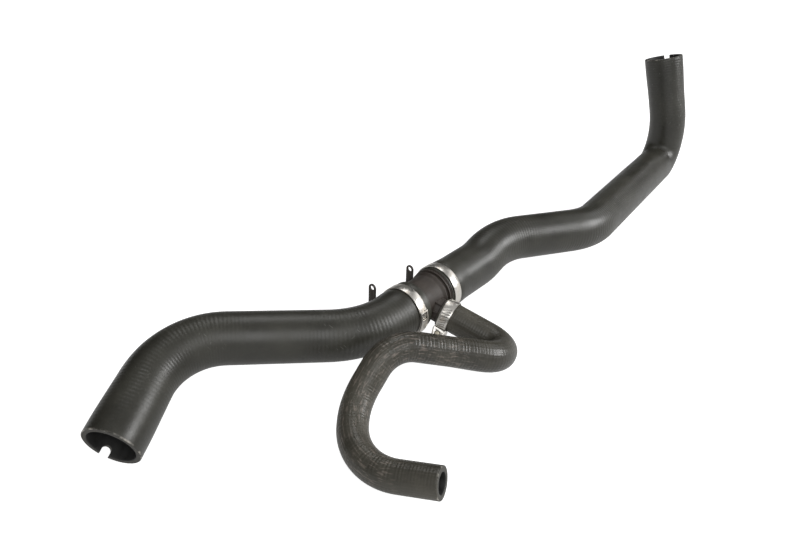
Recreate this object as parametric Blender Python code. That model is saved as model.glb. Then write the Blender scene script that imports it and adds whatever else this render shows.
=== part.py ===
"""Moulded radiator hose with a tee in its run, lying on a bench as it comes to rest.

Metres, +Z up. The long hose runs along +X from its near mouth to its far mouth, and the origin
is under the middle of the assembly on the surface that it lies on. Each hose is one moulding of
rubber with a constant wall, laid out as a bend table: straight legs joined by arcs.
"""

import math

import bmesh
import bpy
from mathutils import Matrix, Vector

# Hoses
MAIN_OD = 0.042
MAIN_WALL = 0.004
NEAR_MOUTH_OD = 0.0445
NEAR_FLARE_LENGTH = 0.050
FAR_MOUTH_OD = 0.0437
FAR_FLARE_LENGTH = 0.040
MOUTH_CUFF = 0.010
BRANCH_OD = 0.024
BRANCH_WALL = 0.0043
BRANCH_ROOT_OD = 0.0255
BRANCH_ROOT_LENGTH = 0.100
BRANCH_TAPER_LENGTH = 0.030
MAIN_SIDES = 20
BRANCH_SIDES = 16
LONGEST_STEP = 0.024
ARC_STEP = math.radians(11)

# Where the tee's axes cross, and the directions of its run and of its branch
TEE = Vector((-0.1075, 0.0293, 0.0361))
RUN = Vector((0.9976, 0.0694, -0.006)).normalized()
BRANCH = Vector((0.256, -0.9363, -0.2404)).normalized()

# Bend tables: the first leg leaves the tee on its axis, then corner and bend radius, then the mouth
FRONT_LEG = 0.0705
FRONT_LEG_RADIUS = 0.084
FRONT_BENDS = [((-0.300, 0.110, 0.0493), 0.063)]
NEAR_MOUTH = Vector((-0.378, 0.067, 0.0210))
REAR_PARTING = 0.250
REAR_LEG = 0.0853
REAR_LEG_RADIUS = 0.067
REAR_BENDS = [
    ((0.0153, 0.0409, 0.0430), 0.080),
    ((0.1152, 0.0023, 0.0340), 0.078),
    ((0.367, 0.054, 0.0194), 0.026),
    ((0.3665, 0.053, 0.0678), 0.115),
]
FAR_MOUTH = Vector((0.3685, 0.0765, 0.1438))
BRANCH_PARTING = 0.120
BRANCH_LEG = 0.0826
BRANCH_LEG_RADIUS = 0.018
BRANCH_BENDS = [
    ((-0.114, -0.0615, 0.0263), 0.027),
    ((-0.189, -0.014, 0.0543), 0.033),
    ((-0.2285, -0.017, 0.0213), 0.0435),
    ((-0.268, -0.053, 0.0078), 0.047),
]
BRANCH_MOUTH = Vector((-0.2405, -0.114, 0.0193))

# Locating notches moulded in the two main mouths
NEAR_NOTCH_WIDTH = 0.007
NEAR_NOTCH_DEPTH = 0.0072
NEAR_NOTCH_SIDE = Vector((-0.065, 0.633, -0.772))
FAR_NOTCH_WIDTH = 0.0065
FAR_NOTCH_DEPTH = 0.006
FAR_NOTCH_SIDE = Vector((0.95, 0.27, -0.11))

# Fits
CLEARANCE = 0.0003
SPIGOT_FIT = 0.0008
BEAD_FIT = 0.0003

# Tee: places along the run and along the branch, measured from the crossing of the axes
FRONT_STOP = -0.0107
REAR_STOP = 0.0190
BODY_RADIUS = 0.0184
SHOULDER_START = 0.0100
SHOULDER_END = 0.0122
SHOULDER_LENGTH = 0.0010
SHOULDER_RADIUS = 0.0200
RIM_RADIUS = 0.0208
RIM_START = 0.0158
GROOVE_RADIUS = 0.0186
SPIGOT_LENGTH = 0.0255
SPIGOT_LEAD = 0.0010
BEAD_FROM_TIP = 0.0055
BEAD_LENGTH = 0.0025
BEAD_RAMP = 0.0010
TEE_BORE_RADIUS = 0.0136
BRANCH_STOP = 0.0216
BRANCH_RELIEF = 0.0008
BOSS_RADIUS = 0.0098
BOSS_RIB_RADIUS = 0.0112
BOSS_RIB_START = 0.0120
BOSS_RIBS = 8
BOSS_RIB_WIDTH = 0.0018
BRANCH_SPIGOT_LENGTH = 0.0277
BRANCH_BORE_RADIUS = 0.0052
TURNED_SIDES = 32

# Bracket on the back of the tee, in the tee's own frame: x run, y back, z up
EYE_SPAN = 0.0505
EYE_MIDDLE = -0.0022
EYE_LEAN = math.radians(14)
FRONT_EYE_RISE = 0.0223
REAR_EYE_RISE = 0.0188
EYE_WIDTH = 0.0074
EYE_HOLE = 0.0043
EYE_THICKNESS = 0.0016
BAR_TOP = -0.016
BAR_BACK = 0.0270
BAR_THICKNESS = 0.0038
BAR_DEPTH = 0.0092
WEB_START = -0.008
WEB_END = 0.016

# Ear clamps on the run
EAR_BAND_WIDTH = 0.0083
EAR_BAND_THICKNESS = 0.0009
EAR_LAP_GAP = 0.0003
EAR_HEIGHT = 0.0062
EAR_WIDTH = 0.0064
FRONT_CLAMP_AT = -0.0222
REAR_CLAMP_AT = 0.0256
FRONT_LAP = math.radians(145)
REAR_LAP = math.radians(212)
LAP_LENGTH = math.radians(70)
FRONT_EAR = math.radians(265)
REAR_EAR = math.radians(315)
WINDOW_WIDTH = 0.0062
WINDOW_LENGTH = 0.0062

# Worm-drive clamp on the branch
WORM_CLAMP_AT = 0.0285
WORM_BAND_WIDTH = 0.0090
WORM_BAND_THICKNESS = 0.0007
WORM_LAP_GAP = 0.0003
WORM_HOUSING_ANGLE = math.radians(225)
WORM_TAIL_END = math.radians(86)
PLAIN_TAIL = 0.0092
SLOT_PITCH = 0.0024
SLOT_LENGTH = 0.0062
SLOT_WIDTH = 0.0010
SLOT_SLANT = math.radians(20)
HOUSING_WALL = 0.0008
HOUSING_LENGTH = 0.0120
HOUSING_END_WALL = 0.0012
SCREW_RADIUS = 0.0035
SCREW_ROOT_RADIUS = 0.0027
SCREW_NECK_RADIUS = 0.0022
SCREW_PITCH = 0.0024
SCREW_PLAY = 0.0003
SCREW_SIDES = 16
SCREW_RINGS_PER_TURN = 6
HEAD_ACROSS_FLATS = 0.0070
HEAD_LENGTH = 0.0042
HEAD_CHAMFER = 0.0006
DRIVER_SLOT_WIDTH = 0.0012
DRIVER_SLOT_DEPTH = 0.0014


def clear_scene():
    for obj in list(bpy.data.objects):
        bpy.data.objects.remove(obj, do_unlink=True)


def material(name, colour, roughness, metallic=0.0):
    mat = bpy.data.materials.new(name)
    mat.use_nodes = True
    shader = mat.node_tree.nodes["Principled BSDF"]
    shader.inputs["Base Color"].default_value = (*colour, 1.0)
    shader.inputs["Roughness"].default_value = roughness
    shader.inputs["Metallic"].default_value = metallic
    return mat


def frame(origin, x_axis, z_axis):
    """The matrix of a frame at origin with this x axis, and z as near to z_axis as it can be."""
    x = Vector(x_axis).normalized()
    y = Vector(z_axis).cross(x).normalized()
    z = x.cross(y)
    matrix = Matrix((x, y, z)).transposed().to_4x4()
    matrix.translation = origin
    return matrix


TEE_UP = BRANCH.cross(RUN).normalized()
TEE_FRAME = frame(TEE, RUN, TEE_UP)
BRANCH_FRAME = frame(TEE, BRANCH, TEE_UP)


def object_of(name, bm, mat=None, matrix=None):
    mesh = bpy.data.meshes.new(name)
    bmesh.ops.recalc_face_normals(bm, faces=bm.faces)
    bm.to_mesh(mesh)
    bm.free()
    obj = bpy.data.objects.new(name, mesh)
    bpy.context.scene.collection.objects.link(obj)
    if matrix:
        obj.matrix_world = matrix
    if mat:
        mesh.materials.append(mat)
    mesh.shade_smooth()
    mesh.set_sharp_from_angle(angle=math.radians(35))
    return obj


def combine(obj, other, operation):
    """Adds an exact Boolean with a helper object, which stays out of the render."""
    other.hide_render = True
    other.display_type = "WIRE"
    boolean = obj.modifiers.new(operation.title() + " " + other.name, "BOOLEAN")
    boolean.operation = operation
    boolean.solver = "EXACT"
    boolean.object = other


def prism(outline, start, end):
    """A bmesh of a closed outline in the local YZ plane, drawn out along X from start to end."""
    bm = bmesh.new()
    face = bm.faces.new([bm.verts.new((start, y, z)) for y, z in outline])
    drawn = bmesh.ops.extrude_face_region(bm, geom=[face])["geom"]
    moved = [item for item in drawn if isinstance(item, bmesh.types.BMVert)]
    bmesh.ops.translate(bm, verts=moved, vec=(end - start, 0, 0))
    return bm


def turned(profile, sides):
    """A bmesh of a solid turned about X from (x, radius) points, the first and last on the axis."""
    bm = bmesh.new()
    verts = [bm.verts.new((x, radius, 0)) for x, radius in profile]
    edges = [bm.edges.new(pair) for pair in zip(verts, verts[1:])]
    bmesh.ops.spin(
        bm, geom=verts + edges, cent=(0, 0, 0), axis=(1, 0, 0), angle=math.tau, steps=sides,
        use_merge=True,
    )
    bmesh.ops.remove_doubles(bm, verts=bm.verts, dist=1e-6)
    return bm


def polar(radius, angle):
    return Vector((radius * math.cos(angle), radius * math.sin(angle)))


def arc(radius, first, last, step=math.radians(9)):
    """Points on a circle about the axis from one angle to another, both ends kept."""
    count = max(1, math.ceil(abs(last - first) / step))
    return [polar(radius, first + (last - first) * i / count) for i in range(count + 1)]


def strip_outline(points, thickness):
    """The closed outline of a bent strip of this thickness about a line of points."""
    sides = []
    for i, point in enumerate(points):
        before = (point - points[i - 1]).normalized() if i else None
        after = (points[i + 1] - point).normalized() if i + 1 < len(points) else None
        along = ((before or after) + (after or before)).normalized()
        across = Vector((-along.y, along.x))
        share = along.dot(after or before)
        sides.append(across * thickness / 2 / share)
    left = [point + side for point, side in zip(points, sides)]
    right = [point - side for point, side in zip(points, sides)]
    return left + right[::-1]


def route(start, bends, end):
    """Points along straight legs and arcs, from a bend table of (corner, radius)."""
    points = [Vector(start)]
    corners = [Vector(start)] + [Vector(corner) for corner, _ in bends] + [Vector(end)]

    def leg_to(target):
        origin = points[-1]
        count = max(1, math.ceil((target - origin).length / LONGEST_STEP))
        points.extend(origin.lerp(target, i / count) for i in range(1, count + 1))

    for i, (_, radius) in enumerate(bends, start=1):
        arriving = (corners[i] - corners[i - 1]).normalized()
        leaving = (corners[i + 1] - corners[i]).normalized()
        turn = arriving.angle(leaving)
        tangent = radius * math.tan(turn / 2)
        leg_to(corners[i] - arriving * tangent)
        inward = (leaving - arriving * leaving.dot(arriving)).normalized()
        centre = points[-1] + inward * radius
        count = max(2, math.ceil(turn / ARC_STEP))
        for k in range(1, count + 1):
            angle = turn * k / count
            points.append(centre - inward * radius * math.cos(angle) + arriving * radius * math.sin(angle))
    leg_to(Vector(end))
    return points


def distances(points):
    """The distance of each point from the first, along the route."""
    total = [0.0]
    for a, b in zip(points, points[1:]):
        total.append(total[-1] + (b - a).length)
    return total


def smooth_step(value):
    value = min(max(value, 0.0), 1.0)
    return value * value * (3 - 2 * value)


def add_cuff(points):
    """Adds the point where the straight cuff of a mouth begins, just before the route's end."""
    points.insert(-1, points[-1] + (points[-2] - points[-1]).normalized() * MOUTH_CUFF)


def mouth_scales(points, mouth_od, flare_length):
    """The section's scale at each point: plain hose, a smooth flare, then the mouth's width in the cuff."""
    along = distances(points)
    flare = mouth_od / MAIN_OD - 1
    return [1 + flare * smooth_step(1 - (along[-1] - at - MOUTH_CUFF) / flare_length) for at in along]


def hose(name, points, diameter, scales, wall, sides, mat):
    """A moulded hose: a round section swept along the route, open at both ends, with this wall."""
    curve = bpy.data.curves.new(name + "_route", "CURVE")
    curve.dimensions = "3D"
    curve.bevel_depth = diameter / 2
    curve.bevel_resolution = (sides - 4) // 2
    curve.use_fill_caps = False
    spline = curve.splines.new("POLY")
    spline.points.add(len(points) - 1)
    for control, point, scale in zip(spline.points, points, scales):
        control.co = (*point, 1.0)
        control.radius = scale
    guide = bpy.data.objects.new(name + "_route", curve)
    mesh = bpy.data.meshes.new_from_object(guide)
    bpy.data.objects.remove(guide)
    mesh.name = name
    mesh.materials.clear()
    mesh.materials.append(mat)
    mesh.shade_smooth()
    obj = bpy.data.objects.new(name, mesh)
    bpy.context.scene.collection.objects.link(obj)
    skin = obj.modifiers.new("Wall", "SOLIDIFY")
    skin.thickness = wall
    skin.offset = -1
    skin.use_even_offset = True
    skin.use_rim = True
    return obj


def cut_notch(obj, name, mouth, outward, side, width, depth, rounded):
    """A locating notch in the rim: a slot that runs in from the mouth through one side of the wall."""
    half = width / 2
    if rounded:
        bottom = [polar(half, math.radians(a)) + Vector((half - depth, 0)) for a in range(270, 80, -20)]
    else:
        bottom = [Vector((-depth, -half)), Vector((-depth, half))]
    outline = [Vector((0.003, -half))] + bottom + [Vector((0.003, half))]
    radial = (side - outward * side.dot(outward)).normalized()
    matrix = Matrix((radial, outward, radial.cross(outward))).transposed().to_4x4()
    matrix.translation = mouth
    inner = MAIN_OD / 2 - MAIN_WALL - 0.003
    outer = MAIN_OD / 2 + 0.005
    combine(obj, object_of(name, prism(outline, inner, outer), matrix=matrix), "DIFFERENCE")


def front_hose(rubber):
    start = TEE + RUN * (FRONT_STOP - CLEARANCE)
    bends = [(TEE - RUN * FRONT_LEG, FRONT_LEG_RADIUS)] + FRONT_BENDS
    points = route(start, bends, NEAR_MOUTH)
    add_cuff(points)
    scales = mouth_scales(points, NEAR_MOUTH_OD, NEAR_FLARE_LENGTH)
    obj = hose("front_hose", points, MAIN_OD, scales, MAIN_WALL, MAIN_SIDES, rubber)
    outward = (points[-1] - points[-2]).normalized()
    cut_notch(
        obj, "near_notch", NEAR_MOUTH, outward, NEAR_NOTCH_SIDE, NEAR_NOTCH_WIDTH, NEAR_NOTCH_DEPTH, True
    )


def parted(points, scales, parting):
    """A route and its scales cut in two at the first point past this distance, with a small gap."""
    i = next(i for i, at in enumerate(distances(points)) if at > parting)
    gap = (points[i + 1] - points[i]).normalized() * CLEARANCE
    return (points[: i + 1], scales[: i + 1]), ([points[i] + gap] + points[i + 1 :], scales[i:])


def rear_hose(rubber):
    """One moulding, drawn in two lengths that meet in a straight part so that its bore stays open."""
    start = TEE + RUN * (REAR_STOP + CLEARANCE)
    bends = [(TEE + RUN * REAR_LEG, REAR_LEG_RADIUS)] + REAR_BENDS
    points = route(start, bends, FAR_MOUTH)
    add_cuff(points)
    scales = mouth_scales(points, FAR_MOUTH_OD, FAR_FLARE_LENGTH)
    root, elbow = parted(points, scales, REAR_PARTING)
    hose("rear_hose", root[0], MAIN_OD, root[1], MAIN_WALL, MAIN_SIDES, rubber)
    obj = hose("rear_hose_elbow", elbow[0], MAIN_OD, elbow[1], MAIN_WALL, MAIN_SIDES, rubber)
    outward = (points[-1] - points[-2]).normalized()
    cut_notch(obj, "far_notch", FAR_MOUTH, outward, FAR_NOTCH_SIDE, FAR_NOTCH_WIDTH, FAR_NOTCH_DEPTH, False)


def branch_hose(rubber):
    """One moulding too, drawn in two lengths for the same reason as the rear hose."""
    start = TEE + BRANCH * (BRANCH_STOP + CLEARANCE)
    bends = [(TEE + BRANCH * BRANCH_LEG, BRANCH_LEG_RADIUS)] + BRANCH_BENDS
    points = route(start, bends, BRANCH_MOUTH)
    along = distances(points)
    swell = BRANCH_ROOT_OD / BRANCH_OD - 1
    scales = [1 + swell * smooth_step(1 - (at - BRANCH_ROOT_LENGTH) / BRANCH_TAPER_LENGTH) for at in along]
    root, end = parted(points, scales, BRANCH_PARTING)
    hose("branch_hose", root[0], BRANCH_OD, root[1], BRANCH_WALL, BRANCH_SIDES, rubber)
    hose("branch_hose_end", end[0], BRANCH_OD, end[1], BRANCH_WALL, BRANCH_SIDES, rubber)


def spigot(stop, tip, radius, bead):
    """The profile of a hose spigot from the face that stops the hose to its tip, with one bead."""
    way = 1 if tip > stop else -1
    bead_end = tip - way * BEAD_FROM_TIP
    bead_start = bead_end - way * BEAD_LENGTH
    return [
        (stop, radius),
        (bead_start - way * BEAD_RAMP, radius),
        (bead_start, bead),
        (bead_end, bead),
        (bead_end + way * BEAD_RAMP, radius),
        (tip - way * SPIGOT_LEAD, radius),
        (tip, radius - SPIGOT_LEAD),
        (tip, 0),
    ]


def run_profile():
    bore = MAIN_OD / 2 - MAIN_WALL
    front = spigot(FRONT_STOP, FRONT_STOP - SPIGOT_LENGTH, bore - SPIGOT_FIT, bore - BEAD_FIT)
    rear = spigot(REAR_STOP, REAR_STOP + SPIGOT_LENGTH, bore - SPIGOT_FIT, bore - BEAD_FIT)
    body = [
        (FRONT_STOP, BODY_RADIUS),
        (SHOULDER_START, BODY_RADIUS),
        (SHOULDER_END, SHOULDER_RADIUS),
        (SHOULDER_END + SHOULDER_LENGTH, SHOULDER_RADIUS),
        (SHOULDER_END + SHOULDER_LENGTH + 0.0004, GROOVE_RADIUS),
        (RIM_START, GROOVE_RADIUS),
        (RIM_START, RIM_RADIUS),
        (REAR_STOP, RIM_RADIUS),
    ]
    return front[::-1] + body + rear


def boss_outline():
    """The boss at the root of the branch, a round core with ribs along it."""
    points = []
    half = BOSS_RIB_WIDTH / 2
    for i in range(BOSS_RIBS):
        middle = math.tau * (i + 0.5) / BOSS_RIBS
        foot = math.asin(half / BOSS_RADIUS)
        top = math.asin(half / BOSS_RIB_RADIUS)
        points.append(polar(BOSS_RADIUS, middle - foot))
        points.append(polar(BOSS_RIB_RADIUS, middle - top))
        points.append(polar(BOSS_RIB_RADIUS, middle + top))
        points.append(polar(BOSS_RADIUS, middle + foot))
        points.append(polar(BOSS_RADIUS, middle + math.pi / BOSS_RIBS))
    return points


def eye_places():
    """Where each eye stands along the run, with its foot in the bar and the middle of its hole."""
    foot = Vector((BAR_BACK, BAR_TOP - BAR_THICKNESS / 2))
    up = Vector((math.sin(EYE_LEAN), math.cos(EYE_LEAN)))
    front = (EYE_MIDDLE - EYE_SPAN / 2, foot, foot + up * FRONT_EYE_RISE)
    rear = (EYE_MIDDLE + EYE_SPAN / 2, foot, foot + up * REAR_EYE_RISE)
    return {"front_eye": front, "rear_eye": rear}


def bracket_eye(x, foot, hole):
    """One upright eye, as a prism whose outline ends in a half circle about its hole."""
    up = (hole - foot).normalized()
    side = Vector((up.y, -up.x)) * EYE_WIDTH / 2
    rounded = [math.radians(a) for a in range(0, 181, 20)]
    top = [hole + side * math.cos(a) + up * EYE_WIDTH / 2 * math.sin(a) for a in rounded]
    outline = [foot + side] + top + [foot - side]
    return prism(outline, x - EYE_THICKNESS / 2, x + EYE_THICKNESS / 2)


def tee_connector(plastic):
    obj = object_of("tee_connector", turned(run_profile(), TURNED_SIDES), plastic, TEE_FRAME)
    near, wide = BRANCH_STOP - 0.0002, BRANCH_ROOT_OD / 2 + BRANCH_RELIEF
    relief = turned([(near, 0), (near, wide), (0.030, wide), (0.030, 0)], 24)
    combine(obj, object_of("collar_relief", relief, matrix=BRANCH_FRAME), "DIFFERENCE")
    bore = BRANCH_ROOT_OD / 2 - BRANCH_WALL
    tip = BRANCH_STOP + BRANCH_SPIGOT_LENGTH
    profile = [(0.004, 0), (0.004, BOSS_RADIUS - 0.0006), (BRANCH_STOP, BOSS_RADIUS - 0.0006)]
    profile += spigot(BRANCH_STOP, tip, bore - SPIGOT_FIT, bore - BEAD_FIT)
    combine(obj, object_of("branch_spigot", turned(profile, 24), matrix=BRANCH_FRAME), "UNION")
    boss = prism(boss_outline(), BOSS_RIB_START, BRANCH_STOP - 0.0003)
    combine(obj, object_of("branch_boss", boss, matrix=BRANCH_FRAME), "UNION")

    web = [(0.011, -0.0095), (0.009, -0.0152), (0.0295, -0.0194), (0.0295, -0.0164)]
    combine(obj, object_of("bracket_web", prism(web, WEB_START, WEB_END), matrix=TEE_FRAME), "UNION")
    near, far = BAR_BACK - BAR_DEPTH / 2, BAR_BACK + BAR_DEPTH / 2
    low = BAR_TOP - BAR_THICKNESS
    bar = [(near, BAR_TOP), (near, low), (far, low), (far, BAR_TOP)]
    reach = EYE_SPAN / 2 + EYE_THICKNESS / 2 - 0.0001
    bar_mesh = prism(bar, EYE_MIDDLE - reach, EYE_MIDDLE + reach)
    combine(obj, object_of("bracket_bar", bar_mesh, matrix=TEE_FRAME), "UNION")
    for name, (x, foot, hole) in eye_places().items():
        combine(obj, object_of(name, bracket_eye(x, foot, hole), matrix=TEE_FRAME), "UNION")

    branch_bore = [(0.002, 0), (0.002, BRANCH_BORE_RADIUS), (0.06, BRANCH_BORE_RADIUS), (0.06, 0)]
    half_turned = BRANCH_FRAME @ Matrix.Rotation(math.pi / 24, 4, "X")
    combine(obj, object_of("branch_bore", turned(branch_bore, 24), matrix=half_turned), "DIFFERENCE")
    run_bore = [(-0.07, 0), (-0.07, TEE_BORE_RADIUS), (0.08, TEE_BORE_RADIUS), (0.08, 0)]
    half_turned = TEE_FRAME @ Matrix.Rotation(math.pi / TURNED_SIDES, 4, "X")
    combine(obj, object_of("run_bore", turned(run_bore, TURNED_SIDES), matrix=half_turned), "DIFFERENCE")
    for name, (x, _, middle) in eye_places().items():
        ring = [middle + polar(EYE_HOLE / 2, math.tau * k / 16) for k in range(16)]
        punch = object_of(name + "_hole", prism(ring, x - 0.003, x + 0.003), matrix=TEE_FRAME)
        combine(obj, punch, "DIFFERENCE")


def ear_clamp_line(lap, ear):
    """The middle line of an ear clamp's strip: the outer lap, the ear, then round under the lap."""
    inner = MAIN_OD / 2 + CLEARANCE + EAR_BAND_THICKNESS / 2
    outer = inner + EAR_BAND_THICKNESS + EAR_LAP_GAP
    foot = math.asin((EAR_WIDTH / 2) / inner)
    lap_end = lap + LAP_LENGTH
    points = arc(outer, lap, lap_end)
    points += arc(inner, lap_end + math.radians(12), ear - foot)
    radial = polar(1, ear)
    across = Vector((-radial.y, radial.x))
    for side in (-1, 1):
        shoulder = radial * (inner + EAR_HEIGHT - 0.0012) + across * side * EAR_WIDTH / 2
        crown = radial * (inner + EAR_HEIGHT) + across * side * (EAR_WIDTH / 2 - 0.0012)
        points += [shoulder, crown] if side < 0 else [crown, shoulder]
    points += arc(inner, ear + foot, lap + math.tau + LAP_LENGTH - math.radians(10))
    return points


def ear_clamp(name, at, lap, ear, steel):
    """A one-piece clamp: a strip lapped over itself, hooked through a window and closed by its ear."""
    line = ear_clamp_line(lap, ear)
    strip = prism(strip_outline(line, EAR_BAND_THICKNESS), at - EAR_BAND_WIDTH / 2, at + EAR_BAND_WIDTH / 2)
    obj = object_of(name, strip, steel, TEE_FRAME)
    under = MAIN_OD / 2 + CLEARANCE + EAR_BAND_THICKNESS
    over = under + EAR_LAP_GAP + EAR_BAND_THICKNESS
    first = lap + 0.0014 / over
    last = first + WINDOW_LENGTH / over
    wedge = [polar(under + EAR_LAP_GAP / 2, first), polar(over + 0.002, first)]
    wedge += [polar(over + 0.002, last), polar(under + EAR_LAP_GAP / 2, last)]
    window = prism(wedge, at - WINDOW_WIDTH / 2, at + WINDOW_WIDTH / 2)
    combine(obj, object_of(name + "_window", window, matrix=TEE_FRAME), "DIFFERENCE")
    first += 0.0008 / over
    last = first + 0.0022 / over
    tab = [polar(under - EAR_BAND_THICKNESS / 2, first), polar(over - 0.0001, first)]
    tab += [polar(over - 0.0005, last), polar(under - EAR_BAND_THICKNESS / 2, last)]
    hook = prism(tab, at - WINDOW_WIDTH / 2 + 0.0009, at + WINDOW_WIDTH / 2 - 0.0009)
    combine(obj, object_of(name + "_hook", hook, matrix=TEE_FRAME), "UNION")


def worm_radii():
    """Middle radii of the clamp strip's inner turn and of its outer, slotted turn."""
    inner = BRANCH_ROOT_OD / 2 + CLEARANCE + WORM_BAND_THICKNESS / 2
    return inner, inner + WORM_BAND_THICKNESS + WORM_LAP_GAP


def worm_band(steel):
    """The strip: one end under the housing, once round the hose, through the housing, then the tail."""
    inner, outer = worm_radii()
    start = WORM_HOUSING_ANGLE - math.radians(20)
    ramp = WORM_HOUSING_ANGLE - math.tau + math.radians(33)
    line = arc(inner, start, ramp) + arc(outer, ramp - math.radians(15), WORM_TAIL_END - math.tau)
    low = WORM_CLAMP_AT - WORM_BAND_WIDTH / 2
    strip = prism(strip_outline(line, WORM_BAND_THICKNESS), low, low + WORM_BAND_WIDTH)
    obj = object_of("branch_clamp_band", strip, steel, BRANCH_FRAME)
    slotted = (WORM_HOUSING_ANGLE - math.radians(30) - WORM_TAIL_END) * outer - PLAIN_TAIL
    count = int(slotted / SLOT_PITCH) + 1
    slots = bmesh.new()
    for i in range(count):
        angle = WORM_TAIL_END + (PLAIN_TAIL + i * SLOT_PITCH) / outer
        turn = Matrix.Rotation(angle, 4, "X")
        place = Matrix.Translation((WORM_CLAMP_AT, outer + 0.0002, 0)) @ Matrix.Rotation(SLOT_SLANT, 4, "Y")
        size = Matrix.Diagonal((SLOT_LENGTH, WORM_BAND_THICKNESS + 0.0001, SLOT_WIDTH, 1))
        bmesh.ops.create_cube(slots, size=1.0, matrix=turn @ place @ size)
    combine(obj, object_of("band_slots", slots, matrix=BRANCH_FRAME), "DIFFERENCE")


def screw_frame():
    """The screw's frame: x along it, away from the tail, z out from the branch, origin in its middle."""
    _, outer = worm_radii()
    radial = BRANCH_FRAME.to_3x3() @ Vector((0, *polar(1, WORM_HOUSING_ANGLE)))
    height = outer + WORM_BAND_THICKNESS / 2 + SCREW_PLAY + SCREW_RADIUS
    return frame(TEE + BRANCH * WORM_CLAMP_AT + radial * height, BRANCH.cross(radial), radial)


def housing(steel):
    """The screw's housing: a folded bridge over the strip, arched over the screw, with two end walls."""
    _, outer = worm_radii()
    chamber = SCREW_RADIUS + 0.0004
    strap_top = -(SCREW_RADIUS + SCREW_PLAY) + 0.0003
    bottom = strap_top - WORM_BAND_THICKNESS - 0.0014
    half = WORM_BAND_WIDTH / 2 + CLEARANCE + HOUSING_WALL
    arch = [polar(chamber + HOUSING_WALL, math.radians(a)) for a in range(20, 161, 14)]
    outline = [Vector((half, bottom)), Vector((half, strap_top + 0.0012))] + arch
    outline += [Vector((-half, strap_top + 0.0012)), Vector((-half, bottom))]
    shell = prism(outline, -HOUSING_LENGTH / 2, HOUSING_LENGTH / 2)
    place = screw_frame()
    obj = object_of("branch_clamp_housing", shell, steel, place)
    inside = HOUSING_LENGTH / 2 - HOUSING_END_WALL
    bore = [(-inside, 0), (-inside, chamber), (inside, chamber), (inside, 0)]
    combine(obj, object_of("screw_chamber", turned(bore, 24), matrix=place), "DIFFERENCE")
    neck = SCREW_NECK_RADIUS + SCREW_PLAY
    eye = [(-0.01, 0), (-0.01, neck), (0.01, neck), (0.01, 0)]
    combine(obj, object_of("screw_neck_hole", turned(eye, 16), matrix=place), "DIFFERENCE")
    low = BRANCH_ROOT_OD / 2 - 0.001
    high = outer + WORM_BAND_THICKNESS / 2 + CLEARANCE
    gate = [(-0.0048, low), (-0.0048, high), (0.0048, high), (0.0048, low)]
    ring = bmesh.new()
    verts = [ring.verts.new((WORM_CLAMP_AT + x, radius, 0)) for x, radius in gate]
    edges = [ring.edges.new((verts[i], verts[(i + 1) % 4])) for i in range(4)]
    bmesh.ops.spin(
        ring, geom=verts + edges, cent=(0, 0, 0), axis=(1, 0, 0), angle=math.tau, steps=48, use_merge=True
    )
    bmesh.ops.remove_doubles(ring, verts=ring.verts, dist=1e-6)
    combine(obj, object_of("strap_gate", ring, matrix=BRANCH_FRAME), "DIFFERENCE")


def thread(start, end):
    """The worm as a closed tube of rings whose radius follows one helix, ending in flat discs."""
    bm = bmesh.new()
    count = math.ceil((end - start) / SCREW_PITCH * SCREW_RINGS_PER_TURN)
    rings = []
    for i in range(count + 1):
        x = start + (end - start) * i / count
        ring = []
        for k in range(SCREW_SIDES):
            turn = k / SCREW_SIDES
            phase = (x / SCREW_PITCH - turn) % 1.0
            crest = smooth_step(1.6 - abs(phase - 0.5) * 5)
            radius = SCREW_ROOT_RADIUS + (SCREW_RADIUS - SCREW_ROOT_RADIUS) * crest
            y, z = polar(radius, math.tau * turn)
            ring.append(bm.verts.new((x, y, z)))
        rings.append(ring)
    for near, far in zip(rings, rings[1:]):
        for k in range(SCREW_SIDES):
            after = (k + 1) % SCREW_SIDES
            bm.faces.new((near[k], near[after], far[after], far[k]))
    bm.faces.new(rings[0])
    bm.faces.new(rings[-1])
    return bm


def screw(steel):
    """The worm screw: thread between the housing's end walls, two necks and a slotted hexagon head."""
    inside = HOUSING_LENGTH / 2 - HOUSING_END_WALL - SCREW_PLAY
    outside = HOUSING_LENGTH / 2 + SCREW_PLAY
    place = screw_frame()
    obj = object_of("branch_clamp_screw", thread(-inside, inside), steel, place)
    neck = [
        (-outside, 0),
        (-outside, SCREW_NECK_RADIUS - 0.0004),
        (-outside + 0.0004, SCREW_NECK_RADIUS),
        (outside + 0.0010, SCREW_NECK_RADIUS),
        (outside + 0.0010, 0),
    ]
    combine(obj, object_of("screw_necks", turned(neck, SCREW_SIDES), matrix=place), "UNION")
    corner = HEAD_ACROSS_FLATS / 2 / math.cos(math.radians(30))
    hexagon = [polar(corner, math.radians(60 * k + 30)) for k in range(6)]
    head = prism(hexagon, outside, outside + HEAD_LENGTH)
    rim = [edge for edge in head.edges if all(abs(v.co.x - outside - HEAD_LENGTH) < 1e-7 for v in edge.verts)]
    bmesh.ops.bevel(head, geom=rim, offset=HEAD_CHAMFER, segments=1, profile=0.5, affect="EDGES", material=-1)
    combine(obj, object_of("screw_head", head, matrix=place), "UNION")
    half = DRIVER_SLOT_WIDTH / 2
    slot = [(-0.006, -half), (-0.006, half), (0.006, half), (0.006, -half)]
    floor = outside + HEAD_LENGTH - DRIVER_SLOT_DEPTH
    combine(obj, object_of("driver_slot", prism(slot, floor, floor + 0.004), matrix=place), "DIFFERENCE")


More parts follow.
